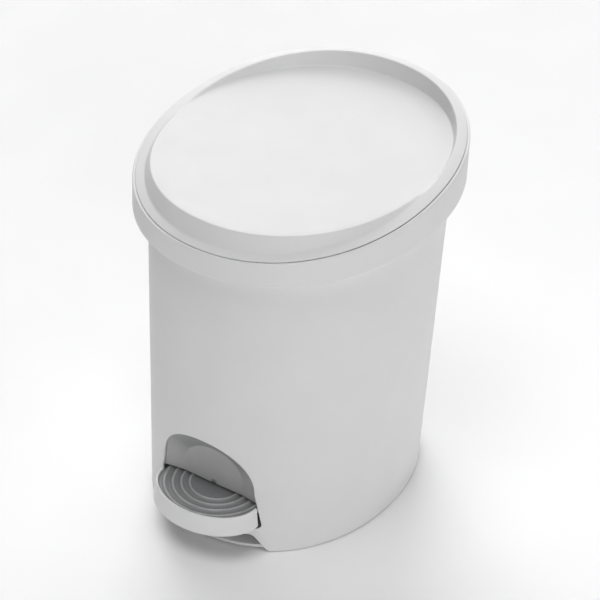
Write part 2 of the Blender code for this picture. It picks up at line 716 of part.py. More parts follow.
def main():
    clear_scene()
    white = material("white_plastic", (0.86, 0.86, 0.86), 0.42)
    lid_white = material("lid_plastic", (0.88, 0.88, 0.88), 0.40)
    grey = material("grey_plastic", (0.33, 0.335, 0.34), 0.5)
    dark_grey = material("tread_rubber", (0.15, 0.16, 0.17), 0.65)
    bucket_grey = material("bucket_plastic", (0.55, 0.56, 0.57), 0.45)
    black = material("black_rubber", (0.03, 0.03, 0.03), 0.8)
    steel = material("zinc_plated_steel", (0.62, 0.62, 0.60), 0.32, 1.0)

    pedal_origin = (0.0, *PEDAL_AXIS)
    lid_origin = (0.0, *HINGE_AXIS)

    make_outer_body(white)
    make_niche_insert(grey)
    make_base_plate(white)
    make_feet(black)
    make_base_screws(steel)
    make_pedal_lever(steel, pedal_origin)
    make_pedal_shell(white, pedal_origin)
    make_pedal_tread(dark_grey, pedal_origin)
    make_pedal_screws(steel, pedal_origin)
    make_axle(steel, steel)
    make_lid(lid_white, lid_origin)
    make_pins(steel, lid_origin)
    make_push_rod(steel, black)
    make_rod_guides(grey)
    make_bucket(bucket_grey)
    make_bail(steel, black)


main()
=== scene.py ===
"""Looks of the small oval pedal bin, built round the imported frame.

Lengths in the design functions are millimetres in the part's own frame: X is the width, -Y the front
(pedal side), +Z up. Meshes are in metres in the row frame. An oval is a superellipse, given as its half
width, its half depth and the y of its centre.
"""

import json
import math

import bmesh
import bpy
import numpy as np
from mathutils import Matrix, Vector
from mathutils.geometry import delaunay_2d_cdt


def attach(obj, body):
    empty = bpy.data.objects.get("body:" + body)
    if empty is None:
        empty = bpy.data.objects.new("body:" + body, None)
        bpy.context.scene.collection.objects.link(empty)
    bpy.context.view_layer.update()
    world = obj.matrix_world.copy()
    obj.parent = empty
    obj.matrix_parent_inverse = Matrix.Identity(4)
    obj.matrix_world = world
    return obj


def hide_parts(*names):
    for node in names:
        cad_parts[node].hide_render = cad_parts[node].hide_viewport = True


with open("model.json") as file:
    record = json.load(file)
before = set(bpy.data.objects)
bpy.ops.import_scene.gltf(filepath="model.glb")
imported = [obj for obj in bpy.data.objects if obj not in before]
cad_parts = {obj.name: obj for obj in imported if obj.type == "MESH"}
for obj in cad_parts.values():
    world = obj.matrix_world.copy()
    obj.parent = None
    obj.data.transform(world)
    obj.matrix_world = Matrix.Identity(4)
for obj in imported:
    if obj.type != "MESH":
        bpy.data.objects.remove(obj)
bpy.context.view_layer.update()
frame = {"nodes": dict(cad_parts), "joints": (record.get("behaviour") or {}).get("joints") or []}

MM = 0.001
FULL_TURN = 2 * math.pi

# ---- form, as in the CAD ----
OVAL_POWER = 2.1
RIM_HEIGHT, RIM_SLOPE = 299.1, 0.104
COLLAR_HEIGHT, NECK_SLOPE = 29.2, 0.038
WALL = 2.5
GAP = 0.3
FLOOR_GAP = 0.6
BASE_OVAL = (101.2, 124.6, -1.0)
NECK_OVAL = (108.0, 131.3, 2.9)
COLLAR_OVAL = (119.6, 143.0, 3.0)
LID_RING_OVAL = (117.3, 141.0, 3.0)
LID_CREST_OVAL = (109.0, 134.0, 2.0)
LID_RIB_OVAL = (110.0, 132.0, 2.4)
LID_DISC_OVAL = (106.8, 130.2, 3.6)
LID_UNDER_OVAL = (104.2, 127.6, 3.6)
LID_DISC_HEIGHT, LID_FLAT_INSET = 302.3, 6.0
LID_EDGE_THICKNESS, LID_CREST_RISE, LID_RIB_DEPTH = 0.9, 3.0, 4.5
LID_RIB_WIDTH, LID_RIB_ROOT = 2.4, 2.6
OPENING_SILL, OPENING_SPRING, OPENING_TOP = 24.0, 58.0, 98.7
OPENING_LOW_HALF, OPENING_ARCH_HALF, OPENING_CORNER = 48.4, 43.0, 4.0
NICHE_BACK_Y, NICHE_BACK_HALF = -108.6, 27.5
NICHE_BACK_SPRING, NICHE_BACK_TOP = 55.0, 79.0
NICHE_WALL, NICHE_FLANGE, NICHE_BOTTOM = 2.2, 6.0, 45.4
RELIEF_TOP, RELIEF_HALF_TOP, RELIEF_HALF_FOOT = 17.5, 40.0, 55.5
PEDAL_HALF, PEDAL_ROUND_Y, PEDAL_FRONT_Y, PEDAL_BACK_Y = 45.4, -115.0, -149.6, -104.0
PEDAL_TOP, PEDAL_FLOOR, PEDAL_PLATE, PEDAL_APRON_BOTTOM = 45.0, 41.5, 3.0, 28.0
PEDAL_FLARE, PEDAL_RIM = 1.8, 1.8
TREAD_TOP, TREAD_RISE, TREAD_RIDGES = 44.2, 1.2, 4
TREAD_CREST, TREAD_PITCH = 0.49, 0.157  # first ridge and spacing, as shares of the tread's half width
HINGE_Y, HINGE_Z = 141.0, 302.0
BARREL_RADIUS, BARREL_HALF = 4.8, 24.0
WEB_FRONT, WEB_BACK, WEB_TOP = 4.4, 1.0, 1.0
LUG_INNER, LUG_OUTER, LUG_RADIUS = 27.0, 33.0, 5.0
LUG_FRONT, LUG_BACK, LUG_SINK = 4.5, 0.5, 0.7
LUG_HEAD_SINES = (-0.995, 0.436)  # where the lug's round head meets its post
NOTCH_HALF, NOTCH_FLOOR = 46.0, 294.0
NOTCH_TOP_ROUND, NOTCH_FLOOR_ROUND = 1.5, 2.5
ROD_TOP = (121.3, 294.8)
FORK_INNER, FORK_OUTER, FORK_RADIUS = 3.2, 6.2, 3.4
BUCKET_TOP_OVAL = (102.0, 120.25, -4.75)
BUCKET_LOW_OVAL = (86.0, 101.5, 1.5)
BUCKET_BOTTOM, BUCKET_WALL = 50.0, 2.0
BUCKET_HOLLOW, BUCKET_HOLLOW_INSET = 0.8, 16.0
LIP_OVAL = (116.2, 139.6, 3.0)
LIP_BACK_Y, LIP_BACK_HALF = 135.5, 60.0
ROD_SLOT_HALF, ROD_SLOT_GAP = 9.0, 0.8
CUT_BACK_Y, CUT_HALF_WIDTH = 170.0, 118.0  # past the bucket on all sides
BAIL_RADIUS, BAIL_DROP = 1.75, 10.0
BAIL_HALF, BAIL_REACH, BAIL_END = 96.0, 110.0, 104.4
GRIP_RADIUS, GRIP_RIBS, GRIP_GROOVE = 5.0, 17, 0.45

# ---- form that only the looks have ----
LID_SEAM = 0.1  # in place of the CAD's gap, for the thin line in the photo
NICHE_MOUTH_GAP, NICHE_MOUTH_ROUND, NICHE_BACK_ROUND = 0.35, 0.5, 1.6
EDGE_ROUND, RIM_ROUND = 0.8, 0.9
NECK_FILLET, COLLAR_LIP, LEDGE_FILLET = 1.2, 1.6, 1.0

# ---- fineness ----
COLUMNS = 288  # points round the large ovals, a multiple of 4
ROUND_STEPS = 4  # faces across a rounded edge
EDGE_SPACING = 0.9  # along the cut edges
WALL_ROW, COLLAR_ROW, COLUMN_SPACING, SEAM_SPACING = 6.0, 4.0, 3.6, 6.0  # in the wall's and collar's sheets
SHEET_CLEARANCE = 1.6  # from a sheet's borders to its inner points
LINE_MARGIN = 0.01  # between a column and a line that takes over from the columns, in radians
LINE_RUN_IN = 2.0  # the relief's line starts this far outside it
NOTCH_RUN_IN = 8.0  # and the notch's this far
RELIEF_STEPS = 4  # points per millimetre before resampling
FILL_SHARES = (0.86, 0.7, 0.52, 0.34, 0.16)
OPENING_STEPS, NICHE_STEPS, NICHE_SIDE_STEPS = 60, 80, 8
PEDAL_SIDE_POINTS = 10  # along each straight side of the pedal
PEDAL_ROUND_STEPS = 96
TREAD_RINGS = 110
FAR_Y = 150.0  # past the shell's front and back
MEAN_RADIUS = 115.0  # turns an angle round the shell into a length
ROUND_LENGTH = FULL_TURN * MEAN_RADIUS

hinge = next(j for j in frame["joints"] if j["name"] == "lid_open")
DEPTH_SHIFT = hinge["pos_m"][1] / MM - HINGE_Y


# ---- curves ----
def rim_z(y):
    return RIM_HEIGHT + RIM_SLOPE * y


def neck_z(y):
    return RIM_HEIGHT - COLLAR_HEIGHT + NECK_SLOPE * y


def lip_top(y):
    return neck_z(y) + WALL + GAP + BUCKET_WALL


def lip_bottom(y):
    return lip_top(y) - BUCKET_WALL


BAIL_PIVOT = (BUCKET_TOP_OVAL[2], lip_top(BUCKET_TOP_OVAL[2]) - BAIL_DROP)


def bent(value):
    """A sine or cosine, changed so that a circle becomes the superellipse."""
    return math.copysign(abs(value) ** (2 / OVAL_POWER), value)


def grown(oval, amount):
    return (oval[0] + amount, oval[1] + amount, oval[2])


def body_oval(height, depth):
    """The body wall's oval at a height, this deep in the wall."""
    share = height / (RIM_HEIGHT - COLLAR_HEIGHT)
    return grown([low + (high - low) * share for low, high in zip(BASE_OVAL, NECK_OVAL)], -depth)


def oval_xy(oval, angle):
    a, b, centre = oval
    return a * bent(math.cos(angle)), centre + b * bent(math.sin(angle))


def oval_side(oval, x, side):
    """(angle, y) of the oval's point at x, on its front (side -1) or back (side 1)."""
    a, b, centre = oval
    share = min(abs(x) / a, 1.0)
    angle = side * math.acos(math.copysign(share ** (OVAL_POWER / 2), x))
    return angle, centre + side * b * (1 - share ** OVAL_POWER) ** (1 / OVAL_POWER)


NOTCH_TOP = rim_z(oval_side(COLLAR_OVAL, NOTCH_HALF, 1)[1])


def column_angle(j):
    """Angle of a column; column 0 is at the middle of the back."""
    return math.pi / 2 + FULL_TURN * j / COLUMNS


def spread(first, last, steps):
    """Even values from first to last."""
    return [first + (last - first) * i / steps for i in range(steps + 1)]


def resample(points, spacing):
    """Points about this far apart along an open polyline, ends kept."""
    lengths = [math.dist(p, q) for p, q in zip(points, points[1:])]
    total = sum(lengths)
    count = max(2, round(total / spacing))
    found, i, passed = [points[0]], 0, 0.0
    for k in range(1, count):
        want = total * k / count
        while passed + lengths[i] < want:
            passed += lengths[i]
            i += 1
        share = (want - passed) / lengths[i]
        found.append(tuple(a + (b - a) * share for a, b in zip(points[i], points[i + 1])))
    return found + [points[-1]]


def turned_left(points, closed):
    """Unit directions to the left of a 2-D polyline at each of its points."""
    first, last = (points[-1], points[0]) if closed else (points[0], points[-1])
    around = [first, *points, last]
    found = []
    for before, after in zip(around, around[2:]):
        dx, dy = after[0] - before[0], after[1] - before[1]
        length = math.hypot(dx, dy)
        found.append((-dy / length, dx / length))
    return found


def arc(centre, radius, first_deg, last_deg, steps=8):
    angles = [math.radians(a) for a in spread(first_deg, last_deg, steps)]
    return [(centre[0] + radius * math.cos(a), centre[1] + radius * math.sin(a)) for a in angles]


def arch_top(half, spring, top, steps):
    """An arch's upper part, as (x, z), from its right spring over to its left one."""
    angles = spread(0.0, math.pi, steps)
    return [(half * bent(math.cos(a)), spring + (top - spring) * bent(math.sin(a))) for a in angles]


def rounding(radius):
    """Radius times (1 - cos, 1 - sin), at the steps of a quarter circle."""
    angles = spread(0.0, math.pi / 2, ROUND_STEPS)
    return [(radius * (1 - math.cos(a)), radius * (1 - math.sin(a))) for a in angles]


def softened(points, radii, steps=ROUND_STEPS):
    """A 3-D polyline with each corner replaced by a curve of about its radius; 0 keeps a point."""
    found = []
    for i, (point, radius) in enumerate(zip(points, radii)):
        if not radius:
            found.append(point)
            continue
        before, after = points[i - 1] - point, points[(i + 1) % len(points)] - point
        start = point + before.normalized() * min(radius, 0.45 * before.length)
        end = point + after.normalized() * min(radius, 0.45 * after.length)
        for k in range(steps + 1):
            s = k / steps
            found.append(start * (1 - s) ** 2 + point * 2 * s * (1 - s) + end * s * s)
    return found


def rounded_box(low, high, radius):
    """A rectangle's outline with rounded corners."""
    corners = [Vector((u, v, 0.0)) for u, v in (low, (high[0], low[1]), high, (low[0], high[1]))]
    return [(p.x, p.y) for p in softened(corners, [radius] * 4, 5)]


# ---- mesh building ----
def new_object(name, data):
    made = bpy.data.objects.new(name, data)
    bpy.context.scene.collection.objects.link(made)
    return made


class Builder:
    """A mesh in millimetres, made of sheets and strips that share vertices."""

    def __init__(self):
        self.bm = bmesh.new()

    def vert(self, x, y, z):
        return self.bm.verts.new((x, y, z))

    def face(self, verts):
        self.bm.faces.new(verts)

    def ring(self, oval, height):
        """Vertices at every column; height may be a function of y, and oval one of the height."""
        made = []
        for j in range(COLUMNS):
            angle = column_angle(j)
            x, y = oval_xy(NECK_OVAL if callable(oval) else oval, angle)
            z = height(y) if callable(height) else height
            if callable(oval):
                x, y = oval_xy(oval(z), angle)
            made.append(self.vert(x, y, z))
        return made

    def strips(self, rows, closed=True):
        """Faces between rows of vertices; closed joins each row's ends."""
        for first, second in zip(rows, rows[1:]):
            count = len(first)
            for i in range(count if closed else count - 1):
                j = (i + 1) % count
                self.face((first[i], first[j], second[j], second[i]))

    def bar(self, rows):
        """A closed solid through rows that each go once round it."""
        self.strips(rows)
        self.face(rows[0][::-1])
        self.face(rows[-1])

    def fan(self, row, hub):
        for first, second in zip(row, row[1:]):
            self.face((first, second, hub))

    def sheet(self, outline, holes, inner, place):
        """Triangles between an outline and its holes, lists of ((u, v), vert); inner is (u, v) points."""
        loops = [outline] + holes
        borders = [[p for p, _ in loop] for loop in loops]
        flat = np.array(sum(borders, []))
        verts = [v for loop in loops for _, v in loop]
        edges, first = [], 0
        for border in borders:
            count = len(border)
            edges += [(first + i, first + (i + 1) % count) for i in range(count)]
            first += count
        inner = np.array(inner)
        inner = inner[within(inner, borders)]
        near = np.array([((flat - p) ** 2).sum(axis=1).min() for p in inner])
        inner = inner[near > SHEET_CLEARANCE**2]
        points = [Vector(p) for p in flat] + [Vector(p) for p in inner]
        out, _, faces, origin, _, _ = delaunay_2d_cdt(points, edges, [], 0, 1e-7, True)
        made = []
        for i, ids in enumerate(origin):
            known = ids[0] if ids else len(points)
            made.append(verts[known] if known < len(verts) else self.vert(*place(out[i].x, out[i].y)))
        middles = np.array([sum((out[i] for i in f), Vector((0, 0))) / 3 for f in faces])
        for f, keep in zip(faces, within(middles, borders)):
            corners = [made[i] for i in f]
            if keep and len(set(corners)) == 3:
                self.face(corners)

    def to_object(self, name, shader, place):
        bmesh.ops.recalc_face_normals(self.bm, faces=self.bm.faces)
        bmesh.ops.transform(self.bm, matrix=place, verts=self.bm.verts)
        mesh = bpy.data.meshes.new(name)
        self.bm.to_mesh(mesh)
        self.bm.free()
        mesh.materials.append(shader)
        return new_object(name, mesh)

    def finish(self, name, shader, body, sharp_deg=None):
        place = Matrix.Scale(MM, 4) @ Matrix.Translation((0.0, DEPTH_SHIFT, 0.0))
        piece = self.to_object(name, shader, place)
        piece.data.shade_smooth()
        if sharp_deg:
            piece.data.set_sharp_from_angle(angle=math.radians(sharp_deg))
        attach(piece, body)
        return piece


def inside(points, polygon):
    """Which 2-D points lie in a polygon, as an array of true and false."""
    found = np.zeros(len(points), bool)
    ring = np.array(polygon)
    for (x0, y0), (x1, y1) in zip(ring, np.roll(ring, -1, axis=0)):
        if y0 != y1:
            crosses = (points[:, 1] > y0) != (points[:, 1] > y1)
            found ^= crosses & (points[:, 0] < x0 + (points[:, 1] - y0) * (x1 - x0) / (y1 - y0))
    return found


def within(points, borders):
    """Which points lie inside the first border and outside the others."""
    found = inside(points, borders[0])
    for hole in borders[1:]:
        found &= ~inside(points, hole)
    return found


def rounded_prism(builder, outline, axis, low, high, radius):
    """An outline, counter-clockwise, extruded along X or Z with rounded end edges."""
    order = {"X": (2, 0, 1), "Z": (0, 1, 2)}[axis]
    normals = turned_left(outline, closed=True)
    levels = [(inset, low + rise) for rise, inset in rounding(radius)]
    levels += [(inset, high + low - w) for inset, w in reversed(levels)]
    rows = []
    for inset, w in levels:
        row = [(u + nu * inset, v + nv * inset, w) for (u, v), (nu, nv) in zip(outline, normals)]
        rows.append([builder.vert(*(p[i] for i in order)) for p in row])
    builder.bar(rows)


def lathe(builder, controls):
    """Rows of vertices at every column through (oval, height, radius) controls, corners rounded."""
    columns = []
    radii = [radius for _, _, radius in controls]
    for j in range(COLUMNS):
        points = []
        for oval, height, _ in controls:
            x, y = oval_xy(oval, column_angle(j))
            points.append(Vector((x, y, height(y) if callable(height) else height)))
        columns.append([builder.vert(*p) for p in softened(points, radii)])
    rows = [list(row) for row in zip(*columns)]
    builder.strips(rows)
    return rows


def fill_oval(builder, row, oval, height):
    """Closes a row with rings that shrink to the oval's centre."""
    rows = [row]
    for share in FILL_SHARES:
        rows.append(builder.ring((oval[0] * share, oval[1] * share, oval[2]), height))
    builder.strips(rows)
    builder.fan(rows[-1] + rows[-1][:1], builder.vert(0.0, oval[2], height))


def tube(builder, path, radius, sides=18):
    """A round bar with rounded ends along a 3-D path; radius is a function of the share of its length."""
    lengths = [0.0]
    for p, q in zip(path, path[1:]):
        lengths.append(lengths[-1] + (q - p).length)
    side, rows, last = None, [], len(path) - 1
    for i, point in enumerate(path):
        ahead = (path[min(i + 1, last)] - path[max(i - 1, 0)]).normalized()
        guide = side or Vector((0.0, 0.0, 1.0))
        if abs(guide.dot(ahead)) > 0.98:
            guide = Vector((0.0, 1.0, 0.0))
        side = (guide - ahead * guide.dot(ahead)).normalized()
        other = ahead.cross(side)
        size = radius(lengths[i] / lengths[-1])
        profile = [(0.0, 1.0)]
        if i in (0, last):
            profile = [(-0.42, 0.42), (-0.22, 0.8), (0.0, 1.0)]
            profile = profile if i == 0 else [(-along, share) for along, share in reversed(profile)]
        for along, share in profile:
            centre = point + ahead * along * size
            rows.append([
                builder.vert(*(centre + (side * math.cos(t) + other * math.sin(t)) * size * share))
                for t in spread(0.0, FULL_TURN, sides)[:-1]
            ])
    builder.bar(rows)


# ---- outer body ----
def relief_z(x):
    """Height of the shell's lower edge at x, along the front."""
    share = (RELIEF_HALF_FOOT - abs(x)) / (RELIEF_HALF_FOOT - RELIEF_HALF_TOP)
    share = min(max(share, 0.0), 1.0)
    return FLOOR_GAP + (RELIEF_TOP - FLOOR_GAP) * (1 - math.cos(math.pi * share)) / 2


def place_on(oval_at):
    """Turns a sheet's flat (u, v) into (x, y, z); oval_at is the oval at a height."""
    return lambda u, v: (*oval_xy(oval_at(v), u / MEAN_RADIUS), v)


def opening_samples():
    """The pedal opening's edge: its (x, z) points from the lower left corner, and their directions outwards."""
    outline = []
    for side, first in ((-1, 180), (1, 270)):
        centre = (side * (OPENING_LOW_HALF - OPENING_CORNER), OPENING_SILL + OPENING_CORNER)
        outline += arc(centre, OPENING_CORNER, first, first + 90)
    outline += arch_top(OPENING_ARCH_HALF, OPENING_SPRING, OPENING_TOP, OPENING_STEPS)
    outline = resample(outline + outline[:1], EDGE_SPACING)[:-1]
    return [(point, (-nx, -nz)) for point, (nx, nz) in zip(outline, turned_left(outline, closed=True))]


def round_samples(first_angle, line, oval, side):
    """An edge once round: angles, but (point, direction) pairs where a line in x and z takes over."""
    first, last = (oval_side(oval, x, side)[0] for x, _ in (line[0], line[-1]))
    angles = [first_angle + FULL_TURN * k / COLUMNS for k in range(COLUMNS)]
    return [
        *(a for a in angles if a < first - LINE_MARGIN),
        *zip(line, turned_left(line, closed=False)),
        *(a for a in angles if a > last + LINE_MARGIN),
    ]


def moved(sample, amount):
    (x, z), (nx, nz) = sample
    return x + nx * amount, z + nz * amount


def wall_point(sample, offset, depth):
    """(angle, x, y, z) of a sample of the wall's edges, moved this far from the edge and this deep."""
    if isinstance(sample, float):
        z = FLOOR_GAP + offset
        return sample, *oval_xy(body_oval(z, depth), sample), z
    x, z = moved(sample, offset)
    angle, y = oval_side(body_oval(z, depth), x, -1)
    return angle, x, y, z


def rim_point(sample, offset, depth):
    """The same for the collar's rim; the notch's line joins the rim's slope at its ends."""
    oval = grown(COLLAR_OVAL, -depth)
    if isinstance(sample, float):
        x, y = oval_xy(oval, sample)
        return sample, x, y, rim_z(y) - offset
    x, z = moved(sample, offset)
    angle, y = oval_side(oval, x, 1)
    on_slope = z > NOTCH_TOP - offset - 0.05
    return angle, x, y, rim_z(y) - offset if on_slope else z


def notch_line():
    """The hinge notch in the rim at the back, as (x, z)."""
    high_centre = (NOTCH_HALF + NOTCH_TOP_ROUND, NOTCH_TOP - NOTCH_TOP_ROUND)
    low_centre = (NOTCH_HALF - NOTCH_FLOOR_ROUND, NOTCH_FLOOR + NOTCH_FLOOR_ROUND)
    right = [(NOTCH_HALF + NOTCH_RUN_IN, NOTCH_TOP), (NOTCH_HALF + NOTCH_TOP_ROUND, NOTCH_TOP)]
    right += arc(high_centre, NOTCH_TOP_ROUND, 90, 180) + arc(low_centre, NOTCH_FLOOR_ROUND, 0, -90)
    return resample(right + [(-x, z) for x, z in reversed(right)], EDGE_SPACING)


def edge_row(builder, samples, point_at, offset, depth):
    """One row of an edge, as ((u, v), vert); a row that goes once round ends on its first vertex."""
    made = []
    for sample in samples:
        angle, x, y, z = point_at(sample, offset, depth)
        made.append(((angle * MEAN_RADIUS, z), builder.vert(x, y, z)))
    if isinstance(samples[0], float):
        (u, v), vert = made[0]
        made.append(((u + ROUND_LENGTH, v), vert))
    return made


def round_off(builder, borders, samples, point_at, radius):
    """The rounded edge between the outer and the inner sheet's border."""
    outer = [(offset, depth) for depth, offset in rounding(radius)[1:]]
    steps = outer + [(offset, WALL - depth) for offset, depth in reversed(outer)]
    rows = [edge_row(builder, samples, point_at, offset, depth) for offset, depth in steps]
    rows = [[vert for _, vert in row] for row in (borders[0], *rows, borders[1])]
    builder.strips([row[:-1] if row[0] is row[-1] else row for row in rows])


def ring_border(ring, first):
    """A ring as a sheet's border, ((u, v), vert), starting and ending at column `first`."""
    border = []
    for k in range(COLUMNS + 1):
        vert = ring[(first + k) % COLUMNS]
        u = column_angle(first) - FULL_TURN + FULL_TURN * k / COLUMNS
        border.append(((u * MEAN_RADIUS, vert.co.z), vert))
    return border


def wrap_sheet(builder, low, high, holes, place, heights, row_step):
    """A sheet once round between two borders with growing u, closed by a seam where it starts and ends."""
    (u, v0), (_, v1) = low[0][0], high[0][0]
    rows = spread(v0, v1, round((v1 - v0) / SEAM_SPACING))[1:-1]
    seam = [(v, builder.vert(*place(u, v))) for v in rows]
    right = [((u + ROUND_LENGTH, v), vert) for v, vert in seam]
    left = [((u, v), vert) for v, vert in reversed(seam)]

    inner = []
    count = round(ROUND_LENGTH / COLUMN_SPACING)
    v, shift = heights[0] + row_step, 0.5
    while v < heights[1]:
        inner += [(u + ROUND_LENGTH * (i + shift) / count, v) for i in range(1, count)]
        v += row_step
        shift = 0.5 - shift
    builder.sheet(low + right + high[::-1] + left, holes, inner, place)


def make_outer_body(shader):
    b = Builder()
    reach = RELIEF_HALF_FOOT + LINE_RUN_IN
    steps = round(RELIEF_STEPS * reach)
    relief = [(i / RELIEF_STEPS, relief_z(i / RELIEF_STEPS)) for i in range(-steps, steps + 1)]
    foot = round_samples(-1.5 * math.pi, resample(relief, EDGE_SPACING), body_oval(FLOOR_GAP, 0.0), -1)
    opening = opening_samples()
    rim = round_samples(-0.5 * math.pi, notch_line(), COLLAR_OVAL, 1)

    # outside: neck fillet, underside of the collar, its rounded lower edge
    rows = [
        b.ring(lambda z: body_oval(z, -grow), lambda y: neck_z(y) - drop) for grow, drop in rounding(NECK_FILLET)
    ]
    rows += [b.ring(grown(COLLAR_OVAL, -inset), lambda y: neck_z(y) + rise) for rise, inset in rounding(COLLAR_LIP)]
    b.strips(rows)

    # inside: fillet, ledge, its rounded edge
    inner_rows = [
        b.ring(grown(COLLAR_OVAL, -WALL - inset), lambda y: neck_z(y) + WALL + rise)
        for inset, rise in rounding(LEDGE_FILLET)
    ]
    inner_rows += [
        b.ring(lambda z: body_oval(z, WALL - grow), lambda y: neck_z(y) + WALL - drop)
        for drop, grow in rounding(EDGE_ROUND)
    ]
    b.strips(inner_rows)

    feet, openings, rims = [], [], []
    for depth, top in ((0.0, rows[0]), (WALL, inner_rows[-1])):
        feet.append(edge_row(b, foot, wall_point, EDGE_ROUND, depth))
        openings.append(edge_row(b, opening, wall_point, EDGE_ROUND, depth))
        place = place_on(lambda z: body_oval(z, depth))
        wrap_sheet(b, feet[-1], ring_border(top, 0), openings[-1:], place, (FLOOR_GAP, neck_z(FAR_Y)), WALL_ROW)
    round_off(b, feet, foot, wall_point, EDGE_ROUND)
    round_off(b, openings, opening, wall_point, EDGE_ROUND)
    for depth, bottom in ((0.0, rows[-1]), (WALL, inner_rows[0])):
        rims.append(edge_row(b, rim, rim_point, RIM_ROUND, depth))
        place = place_on(lambda z: grown(COLLAR_OVAL, -depth))
        wrap_sheet(b, ring_border(bottom, COLUMNS // 2), rims[-1], [], place, (neck_z(-FAR_Y), rim_z(FAR_Y)),
                   COLLAR_ROW)
    round_off(b, rims, rim, rim_point, RIM_ROUND)
    add_hinge_lugs(b)
    piece = b.finish("shell", shader, "body", 50)
    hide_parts("outer_body")
    return piece


def add_hinge_lugs(builder):
    """Two posts on the ledge that carry the hinge pin."""
    foot = neck_z(HINGE_Y) + LUG_SINK
    first, last = (math.degrees(math.asin(sine)) for sine in LUG_HEAD_SINES)
    outline = [(HINGE_Y - LUG_FRONT, foot), (HINGE_Y + LUG_BACK, foot)]
    outline += arc((HINGE_Y, HINGE_Z), LUG_RADIUS, first, 180 + last, 28)
    for low, high in ((LUG_INNER, LUG_OUTER), (-LUG_OUTER, -LUG_INNER)):
        rounded_prism(builder, outline, "X", low, high, 0.5)


# ---- other pieces ----
def make_lid(shader):
    b = Builder()
    under_disc = LID_DISC_HEIGHT - WALL

    def above_rim(rise):
        return lambda y: rim_z(y) + rise

    def rib_bottom(y):
        return min(rim_z(y) - LID_RIB_DEPTH, under_disc)

    seam = above_rim(LID_SEAM)
    rows = lathe(b, [
        (grown(LID_DISC_OVAL, -LID_FLAT_INSET), LID_DISC_HEIGHT, 0),
        (LID_DISC_OVAL, LID_DISC_HEIGHT, 0.9),
        (LID_CREST_OVAL, above_rim(LID_CREST_RISE), 1.3),
        (LID_RING_OVAL, above_rim(GAP + LID_EDGE_THICKNESS), 0.5),
        (LID_RING_OVAL, seam, 0.25),
        (grown(LID_RIB_OVAL, LID_RIB_ROOT), seam, 0.6),
        (grown(LID_RIB_OVAL, LID_RIB_WIDTH), rib_bottom, 0.8),
        (LID_RIB_OVAL, rib_bottom, 0.8),
        (LID_UNDER_OVAL, under_disc, 1.2),
        (grown(LID_UNDER_OVAL, -LID_FLAT_INSET), under_disc, 0),
    ])
    fill_oval(b, rows[0], LID_DISC_OVAL, LID_DISC_HEIGHT)
    fill_oval(b, rows[-1], LID_UNDER_OVAL, under_disc)
    end_round = 0.6
    barrel = arc((HINGE_Y, HINGE_Z), BARREL_RADIUS, 0, 360, 40)[:-1]
    rounded_prism(b, barrel, "X", -BARREL_HALF, BARREL_HALF, end_round)
    web = rounded_box((HINGE_Y - WEB_FRONT, HINGE_Z), (HINGE_Y + WEB_BACK, rim_z(HINGE_Y) + WEB_TOP), 0.8)
    rounded_prism(b, web, "X", -BARREL_HALF + end_round, BARREL_HALF - end_round, end_round)
    start, end = Vector((HINGE_Y, HINGE_Z)), Vector(ROD_TOP)
    turn = math.degrees(math.atan2(end.y - start.y, end.x - start.x))
    fork = arc(end, FORK_RADIUS, turn - 90, turn + 90, 12) + arc(start, FORK_RADIUS, turn + 90, turn + 270, 12)
    for low, high in ((FORK_INNER, FORK_OUTER), (-FORK_OUTER, -FORK_INNER)):
        rounded_prism(b, fork, "X", low, high, 0.5)
    piece = b.finish("lid_shell", shader, "lid", 55)
    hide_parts("lid")
    return piece


def niche_arch(low_half, spring_half, spring, top, grow=0.0):
    """An arch from the niche's right foot over to its left one, as (x, z)."""
    halves = spread(low_half, spring_half, NICHE_SIDE_STEPS)
    side = [(half + grow, z) for half, z in zip(halves, spread(NICHE_BOTTOM, spring, NICHE_SIDE_STEPS))]
    over = arch_top(spring_half + grow, spring, top + grow, NICHE_STEPS)[1:]
    return side + over + [(-x, z) for x, z in side[-2::-1]]


def niche_rows():
    """Arcs of the niche's skin from its flange to near the middle of its back wall, and that middle."""
    lean = (OPENING_LOW_HALF - OPENING_ARCH_HALF) / (OPENING_SPRING - OPENING_SILL)
    mouth_half = OPENING_ARCH_HALF + lean * (OPENING_SPRING - NICHE_BOTTOM)
    on_wall = []
    for grow in (NICHE_FLANGE, NICHE_MOUTH_GAP):
        arch = niche_arch(mouth_half, OPENING_ARCH_HALF, OPENING_SPRING, OPENING_TOP, grow)
        on_wall.append([Vector((x, oval_side(body_oval(z, WALL + GAP), x, -1)[1], z)) for x, z in arch])
    back = niche_arch(NICHE_BACK_HALF, NICHE_BACK_HALF, NICHE_BACK_SPRING, NICHE_BACK_TOP)
    middle = Vector((0.0, NICHE_BACK_Y, NICHE_BOTTOM))
    columns = []
    for flange, mouth, (x, z) in zip(*on_wall, back):
        deep = Vector((x, NICHE_BACK_Y, z))
        radii = (0, NICHE_MOUTH_ROUND, NICHE_BACK_ROUND, 0)
        column = softened([flange, mouth, deep, deep.lerp(middle, 0.35)], radii, 7)
        column[9:9] = [mouth.lerp(deep, share) for share in (0.25, 0.5, 0.75)]
        columns.append(column + [deep.lerp(middle, share) for share in (0.6, 0.85)])
    return [list(row) for row in zip(*columns)], middle


def make_niche(shader):
    b = Builder()
    rows, middle = niche_rows()
    made = [[b.vert(*p) for p in row] for row in rows]
    b.strips(made, closed=False)
    b.fan(made[-1], b.vert(*middle))
    piece = b.finish("niche_cup", shader, "body", 60)
    thick = piece.modifiers.new("thickness", "SOLIDIFY")
    thick.thickness = NICHE_WALL * MM
    thick.offset = -1.0
    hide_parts("niche_insert")
    return piece


